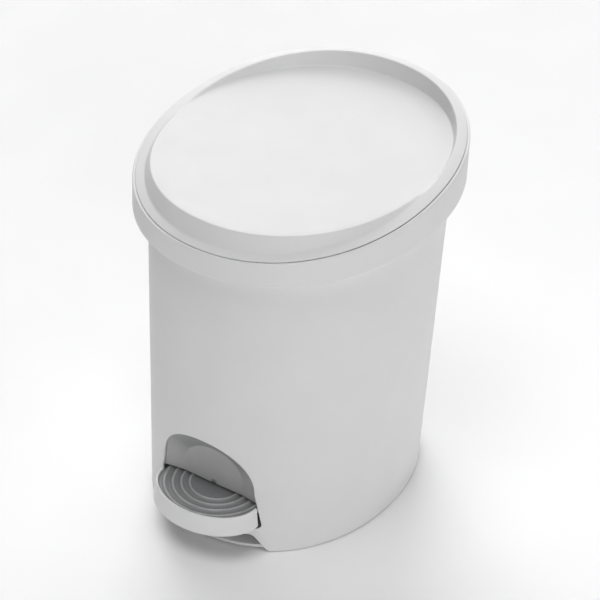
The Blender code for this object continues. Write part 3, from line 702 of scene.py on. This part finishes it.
def pedal_outline(inset=0.0):
    """Plan of the pedal as an open line, (x, y), from the right back corner round the front to the left."""
    half = PEDAL_HALF - inset
    depth = PEDAL_ROUND_Y - PEDAL_FRONT_Y - inset
    side = [(half, y) for y in spread(PEDAL_BACK_Y, PEDAL_ROUND_Y, PEDAL_SIDE_POINTS)[:-1]]
    angles = spread(0.0, math.pi, PEDAL_ROUND_STEPS)
    front = [(half * math.cos(a), PEDAL_ROUND_Y - depth * math.sin(a)) for a in angles]
    return side + front + [(-x, y) for x, y in reversed(side)]


def make_pedal_shell(shader):
    """A half-round apron, flared to its lower edge, with a plate that carries the tread."""
    b = Builder()
    low, top = PEDAL_APRON_BOTTOM, PEDAL_TOP
    line = pedal_outline()[PEDAL_SIDE_POINTS:-PEDAL_SIDE_POINTS]
    rows = []
    for (x, y), (nx, ny) in zip(line, turned_left(line, closed=False)):
        corners = []
        for inset, z in ((0.0, low), (0.0, top), (PEDAL_RIM, top), (PEDAL_RIM, low)):
            out = PEDAL_FLARE * (top - z) / (top - low) - inset
            corners.append(Vector((x + nx * out, y + ny * out, z)))
        rows.append([b.vert(*p) for p in softened(corners, (0.7, 0.8, 0.8, 0.7))])
    b.bar(rows)
    plate = pedal_outline(PEDAL_RIM / 2)
    rounded_prism(b, plate[::-1], "Z", PEDAL_FLOOR - PEDAL_PLATE, PEDAL_FLOOR, 0.3)
    piece = b.finish("pedal_apron", shader, "pedal", 50)
    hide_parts("pedal_shell")
    return piece


def tread_height(share):
    """Rise of the tread's surface at a share of its half width from the middle of its back edge."""
    first = TREAD_CREST - TREAD_PITCH / 2
    last = TREAD_CREST + TREAD_PITCH * (TREAD_RIDGES - 0.5)
    if not first < share < last:
        return 0.0
    wave = 0.5 - 0.5 * math.cos(FULL_TURN * (share - first) / TREAD_PITCH)
    return TREAD_RISE * wave ** 2.2


def make_pedal_tread(shader):
    """A rubber pad with concentric ridges, a flat half disc at their centre and a rounded edge."""
    b = Builder()
    gap = PEDAL_RIM + GAP
    valley = TREAD_TOP - TREAD_RISE
    border = pedal_outline(gap)
    centre = Vector((0.0, PEDAL_BACK_Y))
    half, depth = PEDAL_HALF - gap, PEDAL_BACK_Y - PEDAL_FRONT_Y - gap - 1.0
    edge_start, edge_drop = 0.985, 0.5
    rows = []
    for k in range(1, TREAD_RINGS + 1):
        share = k / TREAD_RINGS
        drop = edge_drop * max(0.0, share - edge_start) / (1 - edge_start)
        row = []
        for x, y in border:
            p = centre + (Vector((x, y)) - centre) * share
            radius = math.hypot(p.x / half, (p.y - PEDAL_BACK_Y + 1.0) / depth)
            row.append(b.vert(p.x, p.y, valley + tread_height(radius) - drop))
        rows.append(row)
    rows.append([b.vert(x, y, PEDAL_FLOOR + GAP) for x, y in border])
    b.strips(rows, closed=False)
    hub = b.vert(centre.x, centre.y, valley)
    b.fan(rows[0], hub)
    b.face([hub] + [row[0] for row in rows] + [row[-1] for row in reversed(rows)])
    b.face(rows[-1])
    piece = b.finish("tread_pad", shader, "pedal", 45)
    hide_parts("pedal_tread")
    return piece


def cut_from(piece, cutters):
    """Takes the cutters' space out of a piece for good, and removes the cutters."""
    for cutter in cutters:
        cut = piece.modifiers.new("cut", "BOOLEAN")
        cut.operation, cut.solver, cut.object = "DIFFERENCE", "EXACT", cutter
    bpy.context.view_layer.update()
    graph = bpy.context.evaluated_depsgraph_get()
    mesh = bpy.data.meshes.new_from_object(piece.evaluated_get(graph), depsgraph=graph)
    piece.modifiers.clear()
    piece.data = mesh
    for cutter in cutters:
        bpy.data.objects.remove(cutter)


def make_bucket(shader):
    """Tapered oval bucket with a flat lip, a rounded mouth, a foot rim and low rings inside its floor."""
    b = Builder()
    floor = BUCKET_BOTTOM + BUCKET_WALL
    hollow = BUCKET_BOTTOM + BUCKET_HOLLOW
    hollow_oval = grown(BUCKET_LOW_OVAL, -BUCKET_HOLLOW_INSET)
    inner_low = grown(BUCKET_LOW_OVAL, -BUCKET_WALL)
    rows = lathe(b, [
        (hollow_oval, hollow, 0),
        (grown(BUCKET_LOW_OVAL, -9.0), hollow, 0.4),
        (grown(BUCKET_LOW_OVAL, -8.4), BUCKET_BOTTOM, 0.4),
        (grown(BUCKET_LOW_OVAL, -0.6), BUCKET_BOTTOM, 3.0),
        (BUCKET_TOP_OVAL, lip_bottom, 0.8),
        (LIP_OVAL, lip_bottom, 0.7),
        (LIP_OVAL, lip_top, 0.7),
        (grown(BUCKET_TOP_OVAL, -BUCKET_WALL), lip_top, 1.4),
        (grown(inner_low, -0.6), floor, 4.0),
        (grown(inner_low, -14.0), floor, 0),
    ])
    fill_oval(b, rows[0], hollow_oval, hollow)
    rings = [rows[-1]]
    for start in (16.0, 36.0):
        for step, rise in ((0.0, 0.0), (0.4, 0.5), (1.8, 0.5), (2.2, 0.0)):
            rings.append(b.ring(grown(inner_low, -start - step), floor + rise))
    b.strips(rings)
    fill_oval(b, rings[-1], grown(inner_low, -38.2), floor)
    piece = b.finish("bucket_shell", shader, "bucket", 40)

    back = rounded_box((-LIP_BACK_HALF, LIP_BACK_Y), (LIP_BACK_HALF, CUT_BACK_Y), 1.0)
    slot_y = BUCKET_TOP_OVAL[1] + BUCKET_TOP_OVAL[2] + ROD_SLOT_GAP
    slot = rounded_box((-ROD_SLOT_HALF, slot_y), (ROD_SLOT_HALF, CUT_BACK_Y), 2.5)
    hole = arc(BAIL_PIVOT, BAIL_RADIUS + GAP, 0, 360, 28)[:-1]
    cutters = []
    for name, outline, axis, low, high, radius in (
        ("cutter_back", back, "Z", 260.0, 300.0, 0.2),
        ("cutter_slot", slot, "Z", 262.0, 302.0, 0.2),
        ("cutter_holes", hole, "X", -CUT_HALF_WIDTH, CUT_HALF_WIDTH, 0.1),
    ):
        b = Builder()
        rounded_prism(b, outline, axis, low, high, radius)
        cutters.append(b.finish(name, shader, "bucket"))
    cut_from(piece, cutters)
    piece.data.set_sharp_from_angle(angle=math.radians(40))
    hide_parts("inner_bucket")
    return piece


def bail_line(first_deg, last_deg, steps):
    """Part of the bail's half oval, which lies parallel to the collar."""
    points = []
    for degrees in spread(first_deg, last_deg, steps):
        angle = math.radians(degrees)
        reach = -BAIL_REACH * bent(math.sin(angle))
        x = BAIL_HALF * bent(math.cos(angle))
        points.append(Vector((x, BAIL_PIVOT[0] + reach, BAIL_PIVOT[1] + RIM_SLOPE * reach)))
    return points


def make_bail_wire(shader):
    """A wire whose ends turn outwards into the bucket's holes."""
    ends = [Vector((x, *BAIL_PIVOT)) for x in (BAIL_END - 0.6, BAIL_HALF + 4.0, BAIL_HALF + 1.6)]
    far_ends = [Vector((-p.x, p.y, p.z)) for p in reversed(ends)]
    b = Builder()
    tube(b, ends + bail_line(4.0, 176.0, 88) + far_ends, lambda share: BAIL_RADIUS)
    piece = b.finish("bail_wire", shader, "bail", 50)
    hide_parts("bucket_bail")
    return piece


def make_bail_grip(shader):
    """A sleeve round the middle of the wire, grooved between its plain ends."""
    def ribbed(share):
        rib = 0.5 - 0.5 * math.cos(FULL_TURN * GRIP_RIBS * share)
        middle = min(max((min(share, 1 - share) - 0.08) / 0.05, 0.0), 1.0)
        return GRIP_RADIUS - GRIP_GROOVE * middle * (1 - rib) ** 2

    b = Builder()
    tube(b, bail_line(67.0, 113.0, 220), ribbed, 28)
    piece = b.finish("bail_grip_ribbed", shader, "bail", 50)
    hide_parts("bail_grip")
    return piece


# ---- materials ----
def scaled(colour, factor):
    return tuple(min(1.0, c * factor) for c in colour)


class Look:
    """A node material in object coordinates, so that its detail keeps its real size."""

    def __init__(self, name, rough, metallic=0.0, specular=0.5):
        self.material = bpy.data.materials.new(name)
        self.material.use_nodes = True
        self.nodes = self.material.node_tree.nodes
        self.links = self.material.node_tree.links
        self.bsdf = self.nodes["Principled BSDF"]
        for key, value in (("Metallic", metallic), ("Roughness", rough), ("Specular IOR Level", specular)):
            self.bsdf.inputs[key].default_value = value
        self.place = self.nodes.new("ShaderNodeTexCoord").outputs["Object"]

    def add(self, kind, inputs, output=0, **settings):
        node = self.nodes.new(kind)
        for key, value in settings.items():
            setattr(node, key, value)
        for key, value in inputs.items():
            if isinstance(value, bpy.types.NodeSocket):
                self.links.new(value, node.inputs[key])
            else:
                node.inputs[key].default_value = value
        return node.outputs[output]

    def along(self, vector, axis):
        """One part of a vector; axis is 0, 1 or 2."""
        return self.add("ShaderNodeSeparateXYZ", {"Vector": vector}, axis)

    def stretched(self, scale, turn=(0.0, 0.0, 0.0)):
        return self.add("ShaderNodeMapping", {"Vector": self.place, "Rotation": turn, "Scale": scale})

    def noise(self, size_mm, detail=2.0, vector=None):
        """0 to 1, with features of about this size."""
        inputs = {"Vector": vector or self.place, "Scale": 1 / (size_mm * MM), "Detail": detail}
        return self.add("ShaderNodeTexNoise", inputs)

    def span(self, value, low, high, to_low=0.0, to_high=1.0):
        return self.add("ShaderNodeMapRange", {
            "Value": value, "From Min": low, "From Max": high, "To Min": to_low, "To Max": to_high,
        })

    def patches(self, size_mm, detail, low, high, to_low=0.0, to_high=1.0):
        """Noise of this size; low to high becomes to_low to to_high."""
        return self.span(self.noise(size_mm, detail), low, high, to_low, to_high)

    def math(self, operation, first, second):
        return self.add("ShaderNodeMath", {0: first, 1: second}, operation=operation)

    def times(self, first, second):
        return self.math("MULTIPLY", first, second)

    def mix(self, share, first, second):
        def colour(value):
            return (*value, 1.0) if isinstance(value, tuple) else value

        return self.add("ShaderNodeMix", {"Factor": share, 6: colour(first), 7: colour(second)}, 2,
                        data_type="RGBA")

    def edges(self, low, high):
        """1 on edges that stand out, 0 elsewhere."""
        pointed = self.nodes.new("ShaderNodeNewGeometry").outputs["Pointiness"]
        return self.span(pointed, low, high)

    def scratches(self, size_mm, turn, share):
        """1 on thin straight hairlines, and 0 elsewhere; share is how much of the surface they take."""
        rest = 0.5 * (1 - share)
        lines = self.noise(size_mm, 1.0, self.stretched((1.0, 0.035, 0.035), turn))
        return self.span(lines, 0.5 + rest, 0.56 + rest)

    def bump(self, height, depth_mm, under=None):
        inputs = {"Height": height, "Distance": depth_mm * MM, "Strength": 1.0}
        if under:
            inputs["Normal"] = under
        return self.add("ShaderNodeBump", inputs)

    def finish(self, colour, rough, normal):
        for key, value in (("Base Color", colour), ("Roughness", rough), ("Normal", normal)):
            self.links.new(value, self.bsdf.inputs[key])
        return self.material


def moulded_look(name, colour, rough, grain, variation, worn, worn_share, dusty=0.0, specular=0.5, ridge_wear_and_highlight=None,
                 painted_front_light=None):
    """Moulded plastic or rubber: spark-eroded grain, slow shade changes, hairlines, worn edges, a little dust.

    grain is its size and depth, and the ridge heights the two heights between which rubbing wear and a painted
    highlight set in, all in millimetres. Faces that look straight to the front can get a paler colour: painted light."""
    look = Look(name, rough, specular=specular)
    darker, lighter = scaled(colour, 1 - variation), scaled(colour, 1 + variation)
    shade = look.mix(look.patches(42.0, 3.0, 0.35, 0.65), darker, lighter)
    speck = look.patches(grain[0] * 3.2, 2.0, 0.3, 0.7, 0.0, 0.35)
    shade = look.mix(speck, shade, scaled(colour, 1 - 1.6 * variation))
    # Faces that look straight to the front get a paler colour: painted light, standing in for the light that falls on
    # them.
    if painted_front_light:
        facing = look.along(look.add("ShaderNodeTexCoord", {}, "Normal"), 1)
        patchy = look.patches(14.0, 3.0, 0.3, 0.7, 0.88, 1.0)
        shade = look.mix(look.times(look.span(facing, -0.90, -0.975), patchy), shade, painted_front_light)
    rub = look.times(look.edges(0.52, 0.60), look.patches(7.0, 3.0, 0.35, 0.65, 0.1, worn_share))
    # Ridge tops between the two heights get the paler worn colour: partly rubbing wear, partly a painted highlight on
    # the crests.
    if ridge_wear_and_highlight:
        ridge_tops_worn_and_lit = look.span(look.along(look.place, 2), ridge_wear_and_highlight[0] * MM, ridge_wear_and_highlight[1] * MM)
        rub = look.math("MAXIMUM", rub, look.times(ridge_tops_worn_and_lit, look.patches(9.0, 3.0, 0.3, 0.6, 0.55, 1.0)))
    shade = look.mix(rub, shade, worn)
    level, leaning = look.scratches(1.3, (0.0, 0.0, 0.5), 0.42), look.scratches(1.6, (0.7, 0.3, 1.9), 0.4)
    lines = look.math("MAXIMUM", level, leaning)
    shade = look.mix(look.times(lines, 0.12), shade, worn)
    if dusty:
        shade = look.mix(look.times(look.patches(16.0, 4.0, 0.42, 0.72), dusty), shade, (0.52, 0.49, 0.45))
    roughness = look.patches(11.0, 3.0, 0.3, 0.7, rough - 0.05, rough + 0.05)
    roughness = look.math("ADD", roughness, look.times(lines, 0.08))
    roughness = look.math("SUBTRACT", roughness, look.times(rub, 0.06))
    normal = look.bump(look.noise(grain[0]), grain[1])
    normal = look.bump(look.noise(26.0, 1.0), 0.05, normal)
    normal = look.bump(look.times(lines, -1.0), 0.004, normal)
    return look.finish(shade, roughness, normal)


def steel_look():
    """Plated steel: crystal spangle, drawn lines, darker stains, brighter edges."""
    look = Look("zinc_steel", 0.34, 1.0)
    colour = (0.60, 0.60, 0.58)
    cells = look.add("ShaderNodeTexVoronoi", {"Vector": look.place, "Scale": 1 / (3.5 * MM)}, 1)
    cell = look.add("ShaderNodeSeparateColor", {"Color": cells})
    shade = look.mix(look.span(cell, 0.0, 1.0), scaled(colour, 0.9), colour)
    stain = look.patches(9.0, 4.0, 0.5, 0.72, 0.0, 0.45)
    shade = look.mix(stain, shade, tuple(c * f for c, f in zip(colour, (0.72, 0.70, 0.66))))
    shade = look.mix(look.times(look.edges(0.52, 0.58), 0.6), shade, (0.83, 0.83, 0.81))
    roughness = look.span(cell, 0.0, 1.0, 0.28, 0.39)
    roughness = look.math("ADD", roughness, look.times(stain, 0.3))
    drawn = look.bump(look.noise(0.5, 2.0, look.stretched((1.0, 0.04, 1.0))), 0.006)
    return look.finish(shade, roughness, look.bump(look.noise(2.5), 0.01, drawn))


def bucket_look():
    """Grey bucket plastic with drawn flow lines up the wall, scuffs, and stains low down."""
    look = Look("bucket_plastic", 0.42)
    flow = look.noise(7.0, 3.0, look.stretched((1.0, 1.0, 0.06)))
    shade = look.mix(look.span(flow, 0.3, 0.7), (0.50, 0.51, 0.52), (0.58, 0.59, 0.60))
    scuff = look.patches(13.0, 5.0, 0.56, 0.74, 0.0, 0.5)
    shade = look.mix(scuff, shade, (0.42, 0.42, 0.41))
    low = look.span(look.along(look.place, 2), 0.12, 0.05)
    shade = look.mix(look.times(low, look.patches(30.0, 4.0, 0.4, 0.65, 0.0, 0.35)), shade, (0.36, 0.33, 0.29))
    shade = look.mix(look.times(look.edges(0.53, 0.6), 0.5), shade, (0.70, 0.70, 0.70))
    roughness = look.patches(9.0, 3.0, 0.3, 0.7, 0.36, 0.5)
    roughness = look.math("ADD", roughness, look.times(scuff, 0.3))
    return look.finish(shade, roughness, look.bump(flow, 0.03, look.bump(look.noise(0.7), 0.02)))


def floor_look():
    look = Look("floor_white", 0.7, specular=0.2)
    shade = look.mix(look.noise(400.0), (0.965, 0.965, 0.965), (0.985, 0.985, 0.985))
    return look.finish(shade, look.patches(60.0, 2.0, 0.3, 0.7, 0.65, 0.8), look.bump(look.noise(2.0), 0.01))


WHITE = dict(colour=(0.80, 0.80, 0.80), variation=0.012, worn=(0.86, 0.86, 0.85), worn_share=0.4)
MOULDED = {
    "white_plastic": dict(WHITE, rough=0.46, specular=0.4, grain=(0.45, 0.010)),
    "lid_plastic": dict(WHITE, rough=0.52, specular=0.22, grain=(0.40, 0.010)),
    "grey_plastic": dict(
        colour=(0.33, 0.335, 0.34), rough=0.52, grain=(0.35, 0.014), variation=0.03,
        # The paler grey last on the next line is painted light for faces that look to the front.
        worn=(0.48, 0.48, 0.48), worn_share=0.3, dusty=0.06, painted_front_light=(0.52, 0.52, 0.52),
    ),
    "tread_rubber": dict(
        colour=(0.25, 0.255, 0.26), rough=0.5, grain=(0.30, 0.012), variation=0.05,
        worn=(0.48, 0.48, 0.48), worn_share=0.8, dusty=0.06,
        # The heights on the next line give the crests a paler colour: wear and a painted highlight.
        ridge_wear_and_highlight=(TREAD_TOP - 0.55 * TREAD_RISE, TREAD_TOP - 0.1 * TREAD_RISE),
    ),
    "black_rubber": dict(
        colour=(0.03, 0.03, 0.031), rough=0.72, grain=(0.28, 0.016), variation=0.10,
        worn=(0.07, 0.07, 0.07), worn_share=0.6, dusty=0.16,
    ),
    "grip_plastic": dict(
        colour=(0.025, 0.025, 0.027), rough=0.4, grain=(0.35, 0.010), variation=0.08,
        worn=(0.06, 0.06, 0.06), worn_share=0.6, dusty=0.05,
    ),
}


# ---- CAD nodes that stay ----
def smooth_group(angle_deg):
    """Geometry nodes that shade faces smooth and leave edges over the angle sharp."""
    group = bpy.data.node_groups.new("smooth_by_angle", "GeometryNodeTree")
    for way in ("INPUT", "OUTPUT"):
        group.interface.new_socket("Geometry", in_out=way, socket_type="NodeSocketGeometry")
    start, end, faces, edges, angle, gentle = (group.nodes.new(kind) for kind in (
        "NodeGroupInput", "NodeGroupOutput", "GeometryNodeSetShadeSmooth", "GeometryNodeSetShadeSmooth",
        "GeometryNodeInputMeshEdgeAngle", "FunctionNodeCompare",
    ))
    faces.domain, edges.domain = "FACE", "EDGE"
    gentle.data_type, gentle.operation = "FLOAT", "LESS_THAN"
    gentle.inputs[1].default_value = math.radians(angle_deg)
    for output, target in (
        (start.outputs[0], faces.inputs["Geometry"]),
        (faces.outputs[0], edges.inputs["Geometry"]),
        (angle.outputs["Unsigned Angle"], gentle.inputs[0]),
        (gentle.outputs[0], edges.inputs["Shade Smooth"]),
        (edges.outputs[0], end.inputs[0]),
    ):
        group.links.new(output, target)
    return group


WELD_DISTANCE = 0.00001  # metres
BEVEL_ANGLE, SMOOTH_ANGLE = 35, 32
BEVELS = {"base_plate": 0.5, "pedal_lever": 0.35, "rod_guide": 0.5, "foot_pad": 0.6, "rod_foot": 0.5, "push_rod": 0.3}
BEVEL_ELSEWHERE = 0.2


def dress(node, shader, group, bevel_mm):
    """Gives a CAD node its material, joined faces, rounded edges and smooth shading."""
    for slot in node.material_slots:
        slot.material = shader
    node.modifiers.new("weld", "WELD").merge_threshold = WELD_DISTANCE
    bevel = node.modifiers.new("bevel", "BEVEL")
    bevel.width, bevel.segments = bevel_mm * MM, 3
    bevel.limit_method, bevel.angle_limit = "ANGLE", math.radians(BEVEL_ANGLE)
    bevel.use_clamp_overlap = True
    node.modifiers.new("smooth", "NODES").node_group = group


# ---- floor, light, camera ----
FLOOR_HALF, FLOOR_STEPS = 3000.0, 12
LIGHT_SPREAD = 36.0  # degrees across, seen from the object
WORLD_COLOUR = (0.97, 0.99, 1.0, 1.0)
WORLD_STRENGTH, BACKDROP_STRENGTH = 0.04, 0.9
STUDIO = (  # name, azimuth and elevation in degrees, strength
    ("front", 46, 20, 0.70),
    ("back_left_high", -135, 48, 0.92),
    ("back_left_low", -141, 19, 1.50),
    ("right", 98, 22, 0.42),
    ("top", 0, 75, 1.12),
    ("back", 180, 22, 0.50),
)
CAMERA_ANGLES = (35.023, 31.876, 2.515)  # elevation, turn to the right and roll, in degrees
CAMERA_PLACE = (0.9082, -1.4519, 1.3611)  # metres, in the part's own frame
CAMERA_SENSOR, CAMERA_LENS = 36.0, 157.79


def direction(azimuth, elevation):
    """Away from the object, in radians; azimuth is 0 in front of it and grows to the right."""
    level = math.cos(elevation)
    return Vector((math.sin(azimuth) * level, -math.cos(azimuth) * level, math.sin(elevation)))


def add_floor():
    builder = Builder()
    places = spread(-FLOOR_HALF, FLOOR_HALF, FLOOR_STEPS)
    builder.strips([[builder.vert(x, y, 0.0) for x in places] for y in places], closed=False)
    builder.to_object("floor", floor_look(), Matrix.Scale(MM, 4))


def add_light(name, azimuth, elevation, strength):
    """A far soft light on the object."""
    light = bpy.data.lights.new(name, "SUN")
    light.angle, light.energy = math.radians(LIGHT_SPREAD), strength
    away = direction(math.radians(azimuth), math.radians(elevation))
    new_object(name, light).matrix_world = away.to_track_quat("Z", "Y").to_matrix().to_4x4()


def add_world():
    """Faint light from all round; past the floor's edge a low view sees a pale backdrop."""
    world = bpy.data.worlds.new("studio")
    world.use_nodes = True
    nodes, links = world.node_tree.nodes, world.node_tree.links
    ground = nodes["Background"]
    ground.inputs["Color"].default_value = WORLD_COLOUR
    seen = nodes.new("ShaderNodeLightPath").outputs["Is Camera Ray"]
    strength = nodes.new("ShaderNodeMapRange")
    strength.inputs["To Min"].default_value = WORLD_STRENGTH
    strength.inputs["To Max"].default_value = BACKDROP_STRENGTH
    links.new(seen, strength.inputs["Value"])
    links.new(strength.outputs[0], ground.inputs["Strength"])
    bpy.context.scene.world = world


def add_camera():
    elevation, turn, roll = map(math.radians, CAMERA_ANGLES)
    back = direction(turn, elevation)
    right = Vector((math.cos(turn), math.sin(turn), 0.0))
    up = back.cross(right)
    side = right * math.cos(roll) + up * math.sin(roll)
    top = up * math.cos(roll) - right * math.sin(roll)
    data = bpy.data.cameras.new("camera")
    data.sensor_width, data.lens = CAMERA_SENSOR, CAMERA_LENS
    camera = new_object("camera", data)
    x, y, z = CAMERA_PLACE
    turned = Matrix((side, top, back)).transposed().to_4x4()
    camera.matrix_world = Matrix.Translation((x, y + DEPTH_SHIFT * MM, z)) @ turned
    bpy.context.scene.camera = camera


# ---- build ----
looks = {name: moulded_look(name, **finish) for name, finish in MOULDED.items()}
looks.update(zinc_steel=steel_look(), bucket_plastic=bucket_look())

for make, slot_name in (
    (make_outer_body, "white_plastic"),
    (make_lid, "lid_plastic"),
    (make_niche, "grey_plastic"),
    (make_pedal_shell, "white_plastic"),
    (make_pedal_tread, "tread_rubber"),
    (make_bucket, "bucket_plastic"),
    (make_bail_wire, "zinc_steel"),
    (make_bail_grip, "grip_plastic"),
):
    make(looks[slot_name])

by_angle = smooth_group(SMOOTH_ANGLE)
for node_name, node in frame["nodes"].items():
    if not node.hide_render:
        bevel_mm = next((size for start, size in BEVELS.items() if node_name.startswith(start)), BEVEL_ELSEWHERE)
        dress(node, looks[node.material_slots[0].material.name.split(".")[0]], by_angle, bevel_mm)

add_floor()
add_world()
for light_row in STUDIO:
    add_light(*light_row)
add_camera()
bpy.context.scene.view_settings.view_transform = "Standard"
